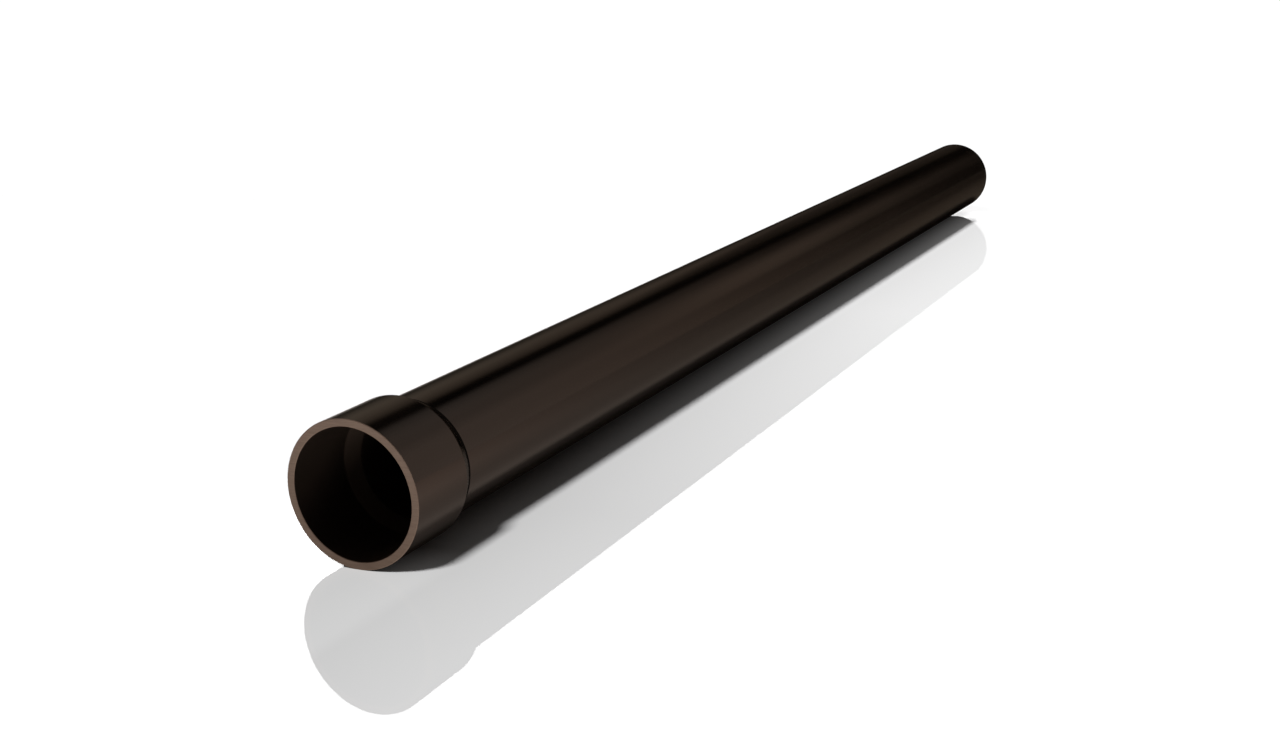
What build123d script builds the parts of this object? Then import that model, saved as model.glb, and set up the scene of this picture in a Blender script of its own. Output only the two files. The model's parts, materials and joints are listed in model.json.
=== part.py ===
"""Round plastic rainwater downpipe with a belled socket at one end, lying on a level floor.

The pipe's axis is horizontal, along X. The socket's mouth faces -X and the plain spigot end faces +X.
The origin is on the floor, under the middle of the pipe. All lengths are in millimetres.
"""

import os

from build123d import *

# Pipe
overall_length = 1000.0
pipe_outer_diameter = 63.0
wall_thickness = 3.75

# Socket: it takes the spigot of the next pipe
socket_length = 40.0
socket_clearance = 0.2

# Conical shoulder that narrows the socket to the pipe, starting a little nearer the mouth inside than outside
shoulder_length = 8.0
shoulder_setback = 2.0
shoulder_bend_radius = 2.0

# Edges broken after sawing
mouth_edge_break = 0.4
spigot_edge_break = 0.5

# Radii
pipe_radius = pipe_outer_diameter / 2
pipe_bore_radius = pipe_radius - wall_thickness
socket_bore_radius = pipe_radius + socket_clearance
socket_radius = socket_bore_radius + wall_thickness

# Places along the axis
mouth_x = -overall_length / 2
spigot_x = mouth_x + overall_length
outer_shoulder_x = mouth_x + socket_length
inner_shoulder_x = outer_shoulder_x - shoulder_setback

# The socket is the widest part, so it sets the axis's height above the floor
axis_height = socket_radius
pipe_axis = Axis((0, 0, axis_height), (1, 0, 0))
section_plane = Plane.XZ.shift_origin((0, 0, axis_height))

with BuildPart() as downpipe:
    # Half section of the wall, with X along the axis and Y out from it
    with BuildSketch(section_plane):
        with BuildLine():
            Polyline(
                (mouth_x, socket_bore_radius),
                (mouth_x, socket_radius),
                (outer_shoulder_x, socket_radius),
                (outer_shoulder_x + shoulder_length, pipe_radius),
                (spigot_x, pipe_radius),
                (spigot_x, pipe_bore_radius),
                (inner_shoulder_x + shoulder_length, pipe_bore_radius),
                (inner_shoulder_x, socket_bore_radius),
                close=True,
            )
        make_face()
    revolve(axis=pipe_axis)

    # The wall's ring edges, in groups from the mouth to the spigot
    rings = downpipe.edges().filter_by(GeomType.CIRCLE).group_by(Axis.X)
    mouth_rings = rings[0]
    spigot_rings = rings[-1]
    shoulder_rings = [ring for group in rings[1:-1] for ring in group]
    fillet(shoulder_rings, shoulder_bend_radius)
    chamfer(mouth_rings, mouth_edge_break)
    chamfer(spigot_rings, spigot_edge_break)

downpipe.part.label = "downpipe"

os.makedirs("parts", exist_ok=True)
export_step(downpipe.part, "parts/downpipe.step")
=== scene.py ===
"""Looks of a dark brown plastic downpipe with a belled socket, lying on a white studio floor.

The pipe is a lathe of its wall's section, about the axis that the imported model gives. Lengths are in metres.
"""

import json
import math
from types import SimpleNamespace

import bpy
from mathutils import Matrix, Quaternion, Vector


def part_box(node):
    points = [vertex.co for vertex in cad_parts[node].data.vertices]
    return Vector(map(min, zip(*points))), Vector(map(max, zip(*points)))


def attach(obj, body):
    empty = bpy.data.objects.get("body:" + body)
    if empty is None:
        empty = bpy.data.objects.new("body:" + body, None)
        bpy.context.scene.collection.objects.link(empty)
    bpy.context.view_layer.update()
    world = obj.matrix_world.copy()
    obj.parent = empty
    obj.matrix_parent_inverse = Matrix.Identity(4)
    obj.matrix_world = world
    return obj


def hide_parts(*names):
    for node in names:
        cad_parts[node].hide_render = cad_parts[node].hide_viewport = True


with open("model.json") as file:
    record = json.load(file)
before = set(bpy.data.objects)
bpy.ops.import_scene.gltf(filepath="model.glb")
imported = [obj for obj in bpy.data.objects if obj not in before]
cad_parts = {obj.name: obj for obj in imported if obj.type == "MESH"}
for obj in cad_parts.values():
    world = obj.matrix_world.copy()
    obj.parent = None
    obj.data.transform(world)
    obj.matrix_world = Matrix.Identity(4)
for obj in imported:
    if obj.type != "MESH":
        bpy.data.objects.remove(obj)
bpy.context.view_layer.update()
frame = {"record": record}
scene = bpy.context.scene

# Sizes that the frame gives
mounts = {mount["name"]: mount for mount in frame["record"]["mounts"]}
millimetre = 0.001
box_low, box_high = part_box("downpipe")
mouth_x = box_low.x
spigot_x = box_high.x
axis_height = mounts["spigot"]["pos_m"][2]
pipe_radius = mounts["spigot"]["dims"]["r_mm"] * millimetre
socket_bore_radius = mounts["socket"]["dims"]["r_mm"] * millimetre

# Wall and socket
wall_thickness = 3.75 * millimetre
socket_length = 40.0 * millimetre
shoulder_length = 8.0 * millimetre
shoulder_setback = 2.0 * millimetre
shoulder_bend_radius = 2.0 * millimetre
mouth_edge_radius = 0.4 * millimetre
spigot_edge_radius = 0.5 * millimetre
pipe_bore_radius = pipe_radius - wall_thickness
socket_radius = socket_bore_radius + wall_thickness
outer_shoulder_x = mouth_x + socket_length
inner_shoulder_x = outer_shoulder_x - shoulder_setback

# Painted shade in the corner behind the socket: where it starts on the shoulder, and its reach along the pipe
corner_shade_start_share = 0.8
corner_shade_reach = 0.9 * millimetre

# Fineness of the lathe
turn_steps = 256
corner_steps = 6
ring_spacing = 25.0 * millimetre

# Textures: cells per metre along X, Y and Z, and octaves of finer detail
die_line_texture = ((2.0, 420.0, 420.0), 3.0)
mottle_texture = ((700.0, 900.0, 900.0), 2.0)
handling_texture = ((9.0, 26.0, 26.0), 4.0)
saw_stroke_texture = ((60.0, 90.0, 1600.0), 3.0)
crumb_texture = ((900.0, 900.0, 900.0), 3.0)
speck_texture = ((600.0, 600.0, 600.0), 4.0)

# Most of a texture's values lie in this span, and the tones of handled plastic change over a shorter one
texture_span = (0.3, 0.7)
handling_span = (0.35, 0.65)

# Depths of the bumps
die_line_depth = 0.006 * millimetre
mottle_depth = 0.0015 * millimetre
saw_stroke_depth = 0.03 * millimetre
crumb_depth = 0.01 * millimetre
speck_depth = 0.05 * millimetre

# Finishes: a dark and a pale tone, the least and most roughness, and the specular level
outer_look = {
    "tones": ((0.0045, 0.0031, 0.0024), (0.0057, 0.0039, 0.0030)),
    "roughness": (0.13, 0.165),
    "specular": 0.6,
}
# Painted light: the bore's tones are about three times the outer skin's, so that light inside the bore shows;
# its roughness is duller
painted_lit_bore_look = {
    "tones": ((0.0144, 0.0099, 0.0074), (0.0180, 0.0124, 0.0093)),
    "roughness": (0.34, 0.40),
    "specular": 0.25,
}
# Painted light: the bore's shoulder, which faces the mouth, is paler so that it looks lit
lit_shoulder_look = {
    "tones": ((0.0330, 0.0227, 0.0170), (0.0412, 0.0283, 0.0214)),
    "roughness": (0.42, 0.50),
    "specular": 0.1,
}
sawn_look = {
    "tones": ((0.198, 0.135, 0.101), (0.250, 0.172, 0.129)),
    "roughness": (0.55, 0.75),
    "specular": 0.3,
}
# Painted shade: the corner band's near-black tones stand for the shadow behind the socket
corner_shade_look = {
    "tones": ((0.0014, 0.0010, 0.0008), (0.0034, 0.0025, 0.0020)),
    "roughness": (0.75, 0.95),
    "specular": 0.05,
}

# Extruded plastic has a brown sheen, and its die lines change the roughness by this much either way
sheen_tint = (1.0, 0.62, 0.47)
die_line_roughness = (-0.015, 0.015)

# Camera, for a picture 1280 pixels wide and 729 high
picture_width_pixels = 1280
focal_length_pixels = 1594.5
camera_place = Vector((-1.04233, -0.42186, 0.25828))
camera_target = Vector((-0.13088, 0.03987, 0.0))
camera_roll = math.radians(-3.236)

# Lamps: a level of 1 shows a surface that faces the lamp in its own colour
overhead_level = 1.09
overhead_place = Vector((-0.625, 0.06, 1.0))
overhead_width = math.radians(11.0)
key_level = 0.5
key_place = Vector((-1.13, -0.38, -0.64))
key_size = 0.5
fill_level = 0.35
fill_place = Vector((0.5, 0.6, 0.62))
fill_width = math.radians(40.0)

# The room's own light on matt surfaces, at the side and overhead, by the height of its direction
room_levels = (0.01, 0.13)
room_heights = (0.2, 1.0)

# Banks of light that only gloss shows. Rolls are degrees about the pipe's axis, from the camera's side over
# the top to the back, each with a share of the light. Cosines are from the axis, each with a level, and the
# light warms from the near tint to the far one. The rise is how much sooner the light falls off overhead.
gloss_banks = {
    "side": {
        "rolls": ((0.0, 1.0), (40.0, 1.0), (58.0, 0.72), (74.0, 0.68), (90.0, 0.42), (99.0, 0.0)),
        "cosines": ((0.80, 0.50), (0.878, 0.28), (0.912, 0.135), (0.945, 0.026), (0.965, 0.004)),
        "rise": 0.03,
        "tints": ((1.0, 0.98, 0.91), (1.0, 0.77, 0.59)),
    },
    "streak": {
        "rolls": ((30.0, 0.0), (42.0, 0.7), (54.0, 1.0), (60.0, 1.0), (72.0, 0.45), (82.0, 0.0)),
        "cosines": ((0.85, 0.0), (0.873, 0.05), (0.90, 0.16), (0.92, 0.14), (0.945, 0.036), (0.965, 0.008)),
        "rise": 0.0,
        "tints": ((1.0, 0.98, 0.91), (1.0, 0.78, 0.60)),
    },
    "back": {
        "rolls": ((113.0, 0.0), (120.0, 0.75), (130.0, 1.0), (145.0, 0.95), (160.0, 0.4), (172.0, 0.1)),
        "cosines": ((0.80, 0.27), (0.90, 0.135), (0.92, 0.13), (0.935, 0.08), (0.95, 0.034), (0.985, 0.028)),
        "rise": 0.15,
        "tints": ((1.0, 0.83, 0.64), (1.0, 0.76, 0.57)),
    },
    "edge": {
        "rolls": ((146.0, 0.0), (156.0, 1.0), (170.0, 1.0), (180.0, 0.3)),
        "cosines": ((0.83, 0.0), (0.85, 0.02), (0.89, 0.012), (0.93, 0.026), (0.96, 0.022)),
        "rise": 0.0,
        "tints": ((1.0, 0.83, 0.64), (1.0, 0.80, 0.66)),
    },
}
warm_cosines = (0.785, 0.90)

# Across the pipe the room is evenly bright in gloss, and it gives way to the banks over these cosines
studio_colour = (0.55, 0.45, 0.38)
studio_cosines = (0.45, 0.72)

# A share that comes in over a span, and one that goes out
fade_in_shares = (0.0, 1.0)
fade_out_shares = (1.0, 0.0)

# Floor: its size and its white. Places below are along X, and distances are from the pipe's middle line
floor_half_width = 300.0
floor_white = 1.02

# Floor's paint as the camera sees it: paler far along the pipe and far beside it, and dark past its end
floor_shares = (0.63, 0.82)
floor_places = (-0.4, 0.05)
floor_spread_shares = (-0.03, 0.03)
floor_spread_distances = (0.04, 0.095)
floor_end_share = 0.10
floor_end_blend = 0.01

# Floor's paint as it throws light up: dark close to the mouth, from which these distances go along X
bounce_shares = (0.02, 0.80)
bounce_distances = (0.015, 0.13)

# Glow of the shadow's outer part as the camera sees it, by the mouth and towards the far end
mouth_shade_glow = 0.03
mouth_shade_places = (-0.495, -0.465)
far_shade_glow = 0.066
far_shade_places = (-0.35, 0.4)
shade_rise_shares = (0.2, 1.0)
shade_rise_distances = (0.004, 0.028)
shade_edge_distances = (0.033, 0.042)

# Backdrop that only the floor's mirror shows
backdrop_level = 6.25

# The mirror stops at the dark gap under the pipe, which starts behind the socket
gap_distances = (0.012, 0.018)
gap_places = (-0.475, -0.465)

# There is more of it behind the mouth and by the far end
mouth_mirror_level = 0.65
mouth_mirror_places = (-0.44, -0.42)
mouth_mirror_distances = (0.005, 0.015)
end_mirror_level = 0.75
end_mirror_places = (0.445, 0.47)
more_mirror_distances = (0.08, 0.10)

# The lit floor in gloss: a fan about a point on the floor beyond the mouth, thinning out along the pipe
fan_place_x = -1.04
fan_depth = 0.44
fan_least = 1.15
fan_distances = (0.05, 0.12)
fan_levels = (0.40, 1.07)
fan_powers = (-1.5, -3.0)
fan_back_shares = (1.0, 0.25)
fan_back_distances = (0.15, 0.5)
fan_warm_span = (1.2, 2.8)
fan_tints = ((1.0, 0.90, 0.80), (1.0, 0.77, 0.57))

# The shadow's outer part in gloss
shade_gloss_level = 0.2
shade_gloss_power = -3.0
shade_gloss_tint = (1.0, 0.86, 0.76)
shade_inner_distances = (0.020, 0.035)
shade_outer_distances = (0.034, 0.06)

# Sockets of a Mix node that are its share and its colours
mix_share_input = 0
mix_colour_inputs = (6, 7)
mix_colour_output = 2


def add_node(tree, kind, **settings):
    """A new node of the tree, with its own properties set."""
    node = tree.nodes.new(kind)
    for name, value in settings.items():
        setattr(node, name, value)
    return node


def join(tree, source, target):
    """Links an output socket to an input socket."""
    tree.links.new(source, target)


def grey(level):
    """A grey as red, green and blue."""
    return (level, level, level)


def opaque(colour):
    """A colour as red, green, blue and alpha."""
    return (*colour, 1.0)


def math_node(tree, operation, first, second=0.0):
    """A math node, whose inputs are each a socket or a number."""
    node = add_node(tree, "ShaderNodeMath", operation=operation)
    for socket, value in zip(node.inputs, (first, second)):
        if isinstance(value, bpy.types.NodeSocket):
            join(tree, value, socket)
        else:
            socket.default_value = value
    return node.outputs[0]


def product(tree, *factors):
    """The factors multiplied together, the first of them a socket."""
    result = factors[0]
    for factor in factors[1:]:
        result = math_node(tree, "MULTIPLY", result, factor)
    return result


def vector_node(tree, operation, first, second):
    """A vector math node of two sockets."""
    node = add_node(tree, "ShaderNodeVectorMath", operation=operation)
    join(tree, first, node.inputs[0])
    join(tree, second, node.inputs[1])
    return node.outputs[0]


def map_range(tree, value, span, results):
    """The value carried from one span to another, and held at its ends."""
    node = add_node(tree, "ShaderNodeMapRange")
    join(tree, value, node.inputs["Value"])
    ends = ("From Min", "From Max", "To Min", "To Max")
    for end, number in zip(ends, (*span, *results)):
        node.inputs[end].default_value = number
    return node.outputs["Result"]


def mix_colour(tree, share, first, second):
    """A mix of two colours, each a socket or red, green and blue."""
    node = add_node(tree, "ShaderNodeMix", data_type="RGBA")
    join(tree, share, node.inputs[mix_share_input])
    for index, value in zip(mix_colour_inputs, (first, second)):
        if isinstance(value, bpy.types.NodeSocket):
            join(tree, value, node.inputs[index])
        else:
            node.inputs[index].default_value = opaque(value)
    return node.outputs[mix_colour_output]


def colour_ramp(tree, value, stops):
    """A ramp through the stops, each a place from 0 to 1 and a colour."""
    node = add_node(tree, "ShaderNodeValToRGB")
    join(tree, value, node.inputs["Fac"])
    elements = node.color_ramp.elements
    while len(elements) < len(stops):
        elements.new(1.0)
    for element, (place, colour) in zip(elements, stops):
        element.position = place
        element.color = opaque(colour)
    return node.outputs["Color"]


def noise(tree, point, texture):
    """Noise at a point of the object."""
    cells, octaves = texture
    scale = add_node(tree, "ShaderNodeVectorMath", operation="MULTIPLY")
    join(tree, point, scale.inputs[0])
    scale.inputs[1].default_value = cells
    node = add_node(tree, "ShaderNodeTexNoise")
    join(tree, scale.outputs[0], node.inputs["Vector"])
    node.inputs["Scale"].default_value = 1.0
    node.inputs["Detail"].default_value = octaves
    return node.outputs["Fac"]


def bump(tree, height, depth, normal=None):
    """A bump of that depth in metres, on top of another one where it is given."""
    node = add_node(tree, "ShaderNodeBump")
    node.inputs["Strength"].default_value = 1.0
    node.inputs["Distance"].default_value = depth
    join(tree, height, node.inputs["Height"])
    if normal is not None:
        join(tree, normal, node.inputs["Normal"])
    return node.outputs["Normal"]


def new_material(name, specular):
    """A material with a Principled shader, its node tree, that shader and the object's own coordinates."""
    material = bpy.data.materials.new(name)
    material.use_nodes = True
    tree = material.node_tree
    shader = tree.nodes["Principled BSDF"]
    shader.inputs["Specular IOR Level"].default_value = specular
    point = add_node(tree, "ShaderNodeTexCoord").outputs["Object"]
    return material, tree, shader, point


def extruded_plastic(name, look):
    """Brown plastic with the faint lengthwise lines that the die leaves, and patches dulled by handling."""
    material, tree, shader, point = new_material(name, look["specular"])
    shader.inputs["Specular Tint"].default_value = opaque(sheen_tint)
    die_lines = noise(tree, point, die_line_texture)
    mottle = noise(tree, point, mottle_texture)
    handling = noise(tree, point, handling_texture)

    tone = map_range(tree, handling, handling_span, fade_in_shares)
    join(tree, mix_colour(tree, tone, *look["tones"]), shader.inputs["Base Color"])

    dulled = map_range(tree, handling, texture_span, look["roughness"])
    lined = map_range(tree, die_lines, texture_span, die_line_roughness)
    join(tree, math_node(tree, "ADD", dulled, lined), shader.inputs["Roughness"])

    drawn = bump(tree, die_lines, die_line_depth)
    join(tree, bump(tree, mottle, mottle_depth, drawn), shader.inputs["Normal"])
    return material


def sawn_plastic(name, look):
    """The pipe's cut ends: paler and duller, with the saw's strokes across them."""
    material, tree, shader, point = new_material(name, look["specular"])
    strokes = noise(tree, point, saw_stroke_texture)
    crumbs = noise(tree, point, crumb_texture)

    tone = map_range(tree, strokes, texture_span, fade_in_shares)
    join(tree, mix_colour(tree, tone, *look["tones"]), shader.inputs["Base Color"])
    join(tree, map_range(tree, crumbs, texture_span, look["roughness"]), shader.inputs["Roughness"])

    cut = bump(tree, strokes, saw_stroke_depth)
    join(tree, bump(tree, crumbs, crumb_depth, cut), shader.inputs["Normal"])
    return material


def painted_corner_shade(name, look):
    """Painted shade in the corner behind the socket: a dull, nearly black band that stands for its shadow."""
    material, tree, shader, point = new_material(name, look["specular"])
    specks = noise(tree, point, speck_texture)

    tone = map_range(tree, specks, texture_span, fade_in_shares)
    join(tree, mix_colour(tree, tone, *look["tones"]), shader.inputs["Base Color"])
    join(tree, map_range(tree, specks, texture_span, look["roughness"]), shader.inputs["Roughness"])
    join(tree, bump(tree, specks, speck_depth), shader.inputs["Normal"])
    return material


def pipe_finishes():
    """Satin outside, a duller bore painted paler as painted light, its shoulder paler still as painted light,
    sawn ends, and painted shade behind the socket.
    """
    return {
        "skin": extruded_plastic("outer_skin", outer_look),
        "bore": extruded_plastic("inner_skin_painted_paler", painted_lit_bore_look),
        "lit_shoulder": extruded_plastic("painted_lit_shoulder", lit_shoulder_look),
        "sawn": sawn_plastic("sawn_plastic", sawn_look),
        "corner_shade": painted_corner_shade("painted_corner_shade", corner_shade_look),
    }


def rounded_corner(before, corner, after, radius):
    """Points of the arc that rounds a corner of the section, or the corner itself where it isn't rounded."""
    if not radius:
        return [corner]
    to_before = (before - corner).normalized()
    to_after = (after - corner).normalized()
    half_angle = to_before.angle(to_after) / 2
    centre = corner + (to_before + to_after).normalized() * radius / math.sin(half_angle)
    start = corner + to_before * radius / math.tan(half_angle) - centre
    end = corner + to_after * radius / math.tan(half_angle) - centre
    turns = [start.lerp(end, step / corner_steps).normalized() for step in range(corner_steps + 1)]
    return [centre + turn * radius for turn in turns]


def wall_section():
    """The wall's section: points along the axis and out from it, each with the finish of what follows."""
    shoulder_start = Vector((outer_shoulder_x, socket_radius))
    shoulder_end = Vector((outer_shoulder_x + shoulder_length, pipe_radius))
    corner_shade_start = shoulder_start.lerp(shoulder_end, corner_shade_start_share)
    corner_shade_end = shoulder_end + Vector((corner_shade_reach, 0.0))
    inner_start = Vector((inner_shoulder_x, socket_bore_radius))
    inner_end = Vector((inner_shoulder_x + shoulder_length, pipe_bore_radius))

    # Each corner has its rounding, the finish of its arc and the finish of the straight after it
    corners = (
        (Vector((mouth_x, socket_bore_radius)), mouth_edge_radius, "sawn", "sawn"),
        (Vector((mouth_x, socket_radius)), mouth_edge_radius, "sawn", "skin"),
        (shoulder_start, shoulder_bend_radius, "skin", "skin"),
        # The dark band from the shoulder into the corner behind the socket is painted shade
        (corner_shade_start, 0.0, "corner_shade", "corner_shade"),
        (shoulder_end, shoulder_bend_radius, "corner_shade", "corner_shade"),
        (corner_shade_end, 0.0, "skin", "skin"),
        (Vector((spigot_x, pipe_radius)), spigot_edge_radius, "sawn", "sawn"),
        (Vector((spigot_x, pipe_bore_radius)), spigot_edge_radius, "sawn", "bore"),
        # The bore's shoulder has the paler finish that paints light on it
        (inner_end, shoulder_bend_radius, "lit_shoulder", "lit_shoulder"),
        (inner_start, shoulder_bend_radius, "lit_shoulder", "bore"),
    )
    arcs = []
    for index, (corner, radius, _, _) in enumerate(corners):
        before = corners[index - 1][0]
        after = corners[(index + 1) % len(corners)][0]
        arcs.append(rounded_corner(before, corner, after, radius))

    section = []
    for index, arc in enumerate(arcs):
        _, _, arc_finish, straight_finish = corners[index]
        section += [(point, arc_finish) for point in arc[:-1]]
        start = arc[-1]
        end = arcs[(index + 1) % len(arcs)][0]
        rings = max(1, round((end - start).length / ring_spacing))
        section += [(start.lerp(end, ring / rings), straight_finish) for ring in range(rings)]
    return section


def turned_pipe():
    """The pipe's mesh: the section swept once round the axis, closed on itself."""
    section = wall_section()
    vertices = []
    for point, _ in section:
        for step in range(turn_steps):
            angle = math.tau * step / turn_steps
            across = point.y * math.cos(angle)
            up = axis_height + point.y * math.sin(angle)
            vertices.append((point.x, across, up))

    faces = []
    face_finishes = []
    for ring, (_, finish) in enumerate(section):
        this_ring = ring * turn_steps
        next_ring = (ring + 1) % len(section) * turn_steps
        for step in range(turn_steps):
            next_step = (step + 1) % turn_steps
            faces.append((this_ring + step, this_ring + next_step, next_ring + next_step, next_ring + step))
            face_finishes.append(finish)

    mesh = bpy.data.meshes.new("pipe_wall")
    mesh.from_pydata(vertices, [], faces)
    finishes = pipe_finishes()
    for material in finishes.values():
        mesh.materials.append(material)
    finish_order = list(finishes)
    for face, finish in zip(mesh.polygons, face_finishes):
        face.material_index = finish_order.index(finish)
        face.use_smooth = True
    pipe = bpy.data.objects.new("pipe_wall", mesh)
    scene.collection.objects.link(pipe)
    pipe.modifiers.new("even_shading", "WEIGHTED_NORMAL")
    return pipe


def ray_kinds(tree):
    """What a ray is: a plain view, also through clear glass, the camera's own, a mirror's or gloss's."""
    path = add_node(tree, "ShaderNodeLightPath").outputs
    camera = path["Is Camera Ray"]
    plain_view = math_node(tree, "MAXIMUM", camera, path["Is Transmission Ray"])
    return SimpleNamespace(
        plain_view=plain_view,
        camera=camera,
        mirror=path["Is Singular Ray"],
        gloss=path["Is Glossy Ray"],
    )


def floor_point(tree):
    """Where a point of the floor is: along the pipe, across it, beside it either way, and along the fan."""
    split = add_node(tree, "ShaderNodeSeparateXYZ")
    join(tree, add_node(tree, "ShaderNodeTexCoord").outputs["Object"], split.inputs[0])
    along = split.outputs["X"]
    across = split.outputs["Y"]
    beside = math_node(tree, "ABSOLUTE", across)
    reach = math_node(tree, "SUBTRACT", along, fan_place_x)
    spread = math_node(tree, "ADD", beside, fan_depth)
    fan = math_node(tree, "MAXIMUM", math_node(tree, "DIVIDE", reach, spread), fan_least)
    return SimpleNamespace(along=along, across=across, beside=beside, fan=fan)


def paint_share(tree, point):
    """How white the floor's paint looks to the camera along the pipe."""
    by_place = map_range(tree, point.along, floor_places, floor_shares)
    by_distance = map_range(tree, point.beside, floor_spread_distances, floor_spread_shares)
    return math_node(tree, "ADD", by_place, by_distance)


def bounce_share(tree, point):
    """How much light the floor's paint throws up."""
    from_mouth = math_node(tree, "ABSOLUTE", math_node(tree, "SUBTRACT", point.along, mouth_x))
    return map_range(tree, from_mouth, bounce_distances, bounce_shares)


def floor_in_gloss(tree, point):
    """How bright the lit floor shows in the pipe's gloss."""
    level = map_range(tree, point.beside, fan_distances, fan_levels)
    power = map_range(tree, point.beside, fan_distances, fan_powers)
    behind = map_range(tree, point.across, fan_back_distances, fan_back_shares)
    fall = product(tree, level, math_node(tree, "POWER", point.fan, power), behind)
    warmth = map_range(tree, point.fan, fan_warm_span, fade_in_shares)
    return vector_node(tree, "MULTIPLY", mix_colour(tree, warmth, *fan_tints), fall)


def shade_in_gloss(tree, point):
    """How bright the shadow's outer part shows in the pipe's gloss."""
    inner = map_range(tree, point.beside, shade_inner_distances, fade_in_shares)
    outer = map_range(tree, point.beside, shade_outer_distances, fade_out_shares)
    thinned = math_node(tree, "POWER", point.fan, shade_gloss_power)
    return product(tree, inner, outer, thinned, shade_gloss_level)


def shade_in_view(tree, point):
    """How much paler the shadow's outer part looks to the camera, by the mouth and towards the far end."""
    by_mouth = map_range(tree, point.along, mouth_shade_places, (mouth_shade_glow, 0.0))
    by_end = map_range(tree, point.along, far_shade_places, (0.0, far_shade_glow))
    outer = map_range(tree, point.beside, shade_rise_distances, shade_rise_shares)
    in_shade = map_range(tree, point.beside, shade_edge_distances, fade_out_shares)
    return product(tree, math_node(tree, "ADD", by_mouth, by_end), outer, in_shade)


def clear_of_gap(tree, point):
    """0 in the dark gap under the pipe, behind its socket, and 1 elsewhere."""
    outside = map_range(tree, point.beside, gap_distances, fade_in_shares)
    by_socket = map_range(tree, point.along, gap_places, fade_out_shares)
    return math_node(tree, "MAXIMUM", outside, by_socket)


def extra_mirror(tree, point):
    """More of the mirror behind the mouth and by the far end, where it outshines the shadow."""
    by_mouth = map_range(tree, point.along, mouth_mirror_places, (mouth_mirror_level, 0.0))
    behind = map_range(tree, point.across, mouth_mirror_distances, fade_in_shares)
    by_end = map_range(tree, point.along, end_mirror_places, (0.0, end_mirror_level))
    not_far = map_range(tree, point.across, more_mirror_distances, fade_out_shares)
    return product(tree, math_node(tree, "ADD", product(tree, by_mouth, behind), by_end), not_far)


def white_floor():
    """White paint that keeps the shadow, under a faint mirror of a bright backdrop."""
    material = bpy.data.materials.new("white_floor")
    material.use_nodes = True
    tree = material.node_tree
    tree.nodes.remove(tree.nodes["Principled BSDF"])
    rays = ray_kinds(tree)
    point = floor_point(tree)
    end_places = (spigot_x - floor_end_blend, spigot_x + floor_end_blend)
    past_end = map_range(tree, point.along, end_places, fade_in_shares)
    short_of_end = map_range(tree, point.along, end_places, fade_out_shares)

    paint = add_node(tree, "ShaderNodeBsdfDiffuse")
    along_pipe = paint_share(tree, point)
    shown = mix_colour(tree, past_end, along_pipe, grey(floor_end_share))
    bounced = mix_colour(tree, rays.gloss, bounce_share(tree, point), floor_in_gloss(tree, point))
    join(tree, mix_colour(tree, rays.plain_view, bounced, shown), paint.inputs["Color"])

    # The mirror brings the lit paint up to white
    mirror = add_node(tree, "ShaderNodeBsdfGlossy")
    mirror.inputs["Roughness"].default_value = 0.0
    missing = math_node(tree, "SUBTRACT", floor_white, along_pipe)
    beside_pipe = product(tree, missing, clear_of_gap(tree, point))
    wanted = math_node(tree, "ADD", beside_pipe, extra_mirror(tree, point))
    mirrored = product(tree, wanted, rays.camera, short_of_end, 1 / backdrop_level)
    join(tree, mirrored, mirror.inputs["Color"])

    # Past the pipe's end a glow does that instead
    glow = add_node(tree, "ShaderNodeEmission")
    end_glow = product(tree, past_end, floor_white - floor_end_share)
    view_glow = math_node(tree, "ADD", end_glow, shade_in_view(tree, point))
    shown_glow = product(tree, view_glow, rays.plain_view)
    gloss_glow = product(tree, shade_in_gloss(tree, point), rays.gloss)
    join(tree, mix_colour(tree, rays.gloss, grey(1.0), shade_gloss_tint), glow.inputs["Color"])
    join(tree, math_node(tree, "ADD", shown_glow, gloss_glow), glow.inputs["Strength"])

    surface = paint.outputs[0]
    for layer in (mirror, glow):
        both = add_node(tree, "ShaderNodeAddShader")
        join(tree, surface, both.inputs[0])
        join(tree, layer.outputs[0], both.inputs[1])
        surface = both.outputs[0]
    join(tree, surface, tree.nodes["Material Output"].inputs["Surface"])
    return material


def laid_floor():
    """A flat floor that reaches past the picture's top edge."""
    edge = floor_half_width
    corners = [(-edge, -edge, 0.0), (edge, -edge, 0.0), (edge, edge, 0.0), (-edge, edge, 0.0)]
    mesh = bpy.data.meshes.new("studio_floor")
    mesh.from_pydata(corners, [], [(0, 1, 2, 3)])
    mesh.materials.append(white_floor())
    floor = bpy.data.objects.new("studio_floor", mesh)
    scene.collection.objects.link(floor)
    return floor


def add_lamp(name, kind, place, target, lit_object):
    """A lamp at a place, aimed at a target, that lights one object and that gloss doesn't show."""
    light = bpy.data.lights.new(name, kind)
    lamp = bpy.data.objects.new(name, light)
    lamp.location = place
    lamp.rotation_euler = (target - place).to_track_quat("-Z", "Y").to_euler()
    lamp.visible_camera = False
    lamp.visible_glossy = False
    scene.collection.objects.link(lamp)
    receivers = bpy.data.collections.new(name + "_receivers")
    receivers.objects.link(lit_object)
    lamp.light_linking.receiver_collection = receivers
    return lamp


def light_objects(pipe, floor):
    """A lamp above that draws the shadow on the floor, a low one before the mouth and a weak one behind."""
    middle = Vector((0.0, 0.0, 0.0))
    mouth = Vector((mouth_x, 0.0, axis_height))
    overhead = add_lamp("overhead", "SUN", overhead_place, middle, floor).data
    overhead.energy = overhead_level * math.pi
    overhead.angle = overhead_width

    # The low lamp stands for light thrown up by the floor, so only the pipe shades it
    key_lamp = add_lamp("key", "AREA", key_place, mouth, pipe)
    key_lamp.light_linking.blocker_collection = key_lamp.light_linking.receiver_collection
    key = key_lamp.data
    key.shape = "DISK"
    key.size = key_size
    key.energy = key_level * 4 * math.pi * (mouth - key_place).length_squared

    fill = add_lamp("fill", "SUN", fill_place, middle, pipe).data
    fill.energy = fill_level * math.pi
    fill.angle = fill_width


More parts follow.
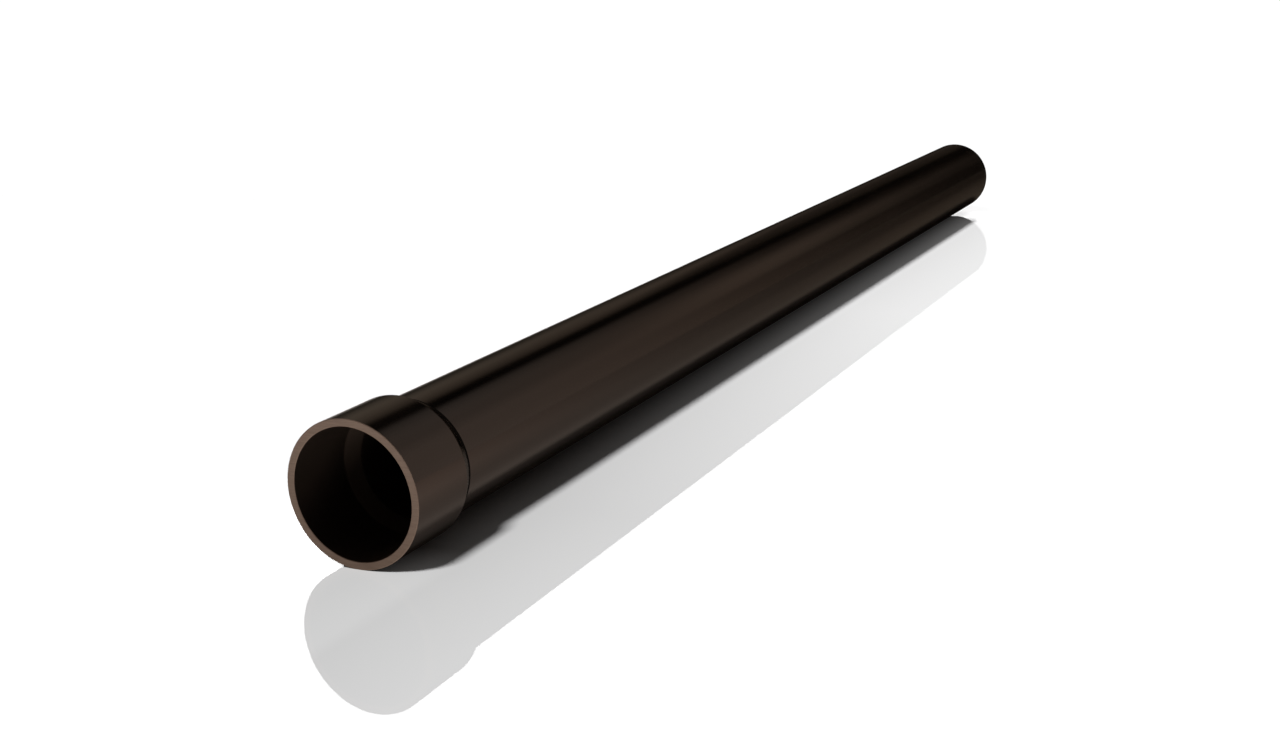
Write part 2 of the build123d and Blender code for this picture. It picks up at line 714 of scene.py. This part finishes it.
def gloss_bank(tree, roll, axis_cosine, height, bank):
    """A bank of light that only gloss shows, as a colour by direction."""
    roll_share = map_range(tree, roll, (0.0, math.pi), fade_in_shares)
    roll_stops = [(math.radians(degrees) / math.pi, grey(share)) for degrees, share in bank["rolls"]]
    around = colour_ramp(tree, roll_share, roll_stops)
    cosine_stops = [(cosine, grey(level)) for cosine, level in bank["cosines"]]
    raised = math_node(tree, "ADD", axis_cosine, math_node(tree, "MULTIPLY", height, bank["rise"]))
    along = colour_ramp(tree, raised, cosine_stops)
    warmth = map_range(tree, axis_cosine, warm_cosines, fade_in_shares)
    tint = mix_colour(tree, warmth, *bank["tints"])
    return vector_node(tree, "MULTIPLY", vector_node(tree, "MULTIPLY", tint, around), along)


def room_in_gloss(tree, along, across, height):
    """What gloss shows of the room: banks of light along the pipe, and an even room across it."""
    roll = math_node(tree, "ARCTAN2", height, math_node(tree, "MULTIPLY", across, -1.0))
    first, *others = [gloss_bank(tree, roll, along, height, bank) for bank in gloss_banks.values()]
    banks = first
    for bank in others:
        banks = vector_node(tree, "ADD", banks, bank)
    across_pipe = map_range(tree, along, studio_cosines, fade_out_shares)
    return mix_colour(tree, across_pipe, banks, studio_colour)


def light_room():
    """A dim room, with light that only gloss shows and a bright backdrop that only a mirror shows."""
    world = bpy.data.worlds.new("studio")
    world.use_nodes = True
    world.cycles.sampling_method = "NONE"
    scene.world = world
    tree = world.node_tree
    split = add_node(tree, "ShaderNodeSeparateXYZ")
    join(tree, add_node(tree, "ShaderNodeTexCoord").outputs["Generated"], split.inputs[0])
    along, across, height = split.outputs

    rays = ray_kinds(tree)
    room = map_range(tree, height, room_heights, room_levels)
    soft = mix_colour(tree, rays.gloss, room, room_in_gloss(tree, along, across, height))
    mirrored = mix_colour(tree, rays.mirror, soft, grey(backdrop_level))
    colour = mix_colour(tree, rays.plain_view, mirrored, grey(1.0))
    join(tree, colour, tree.nodes["Background"].inputs["Color"])


def place_camera():
    """The camera at the photograph's place, with its small roll."""
    data = bpy.data.cameras.new("camera")
    data.sensor_fit = "HORIZONTAL"
    data.lens = focal_length_pixels * data.sensor_width / picture_width_pixels
    camera = bpy.data.objects.new("camera", data)
    look = (camera_target - camera_place).to_track_quat("-Z", "Y")
    camera.location = camera_place
    camera.rotation_mode = "QUATERNION"
    camera.rotation_quaternion = look @ Quaternion((0.0, 0.0, 1.0), camera_roll)
    scene.collection.objects.link(camera)
    scene.camera = camera


scene.view_settings.view_transform = "Standard"
pipe_wall = turned_pipe()
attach(pipe_wall, "root")
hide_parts("downpipe")
light_objects(pipe_wall, laid_floor())
light_room()
place_camera()
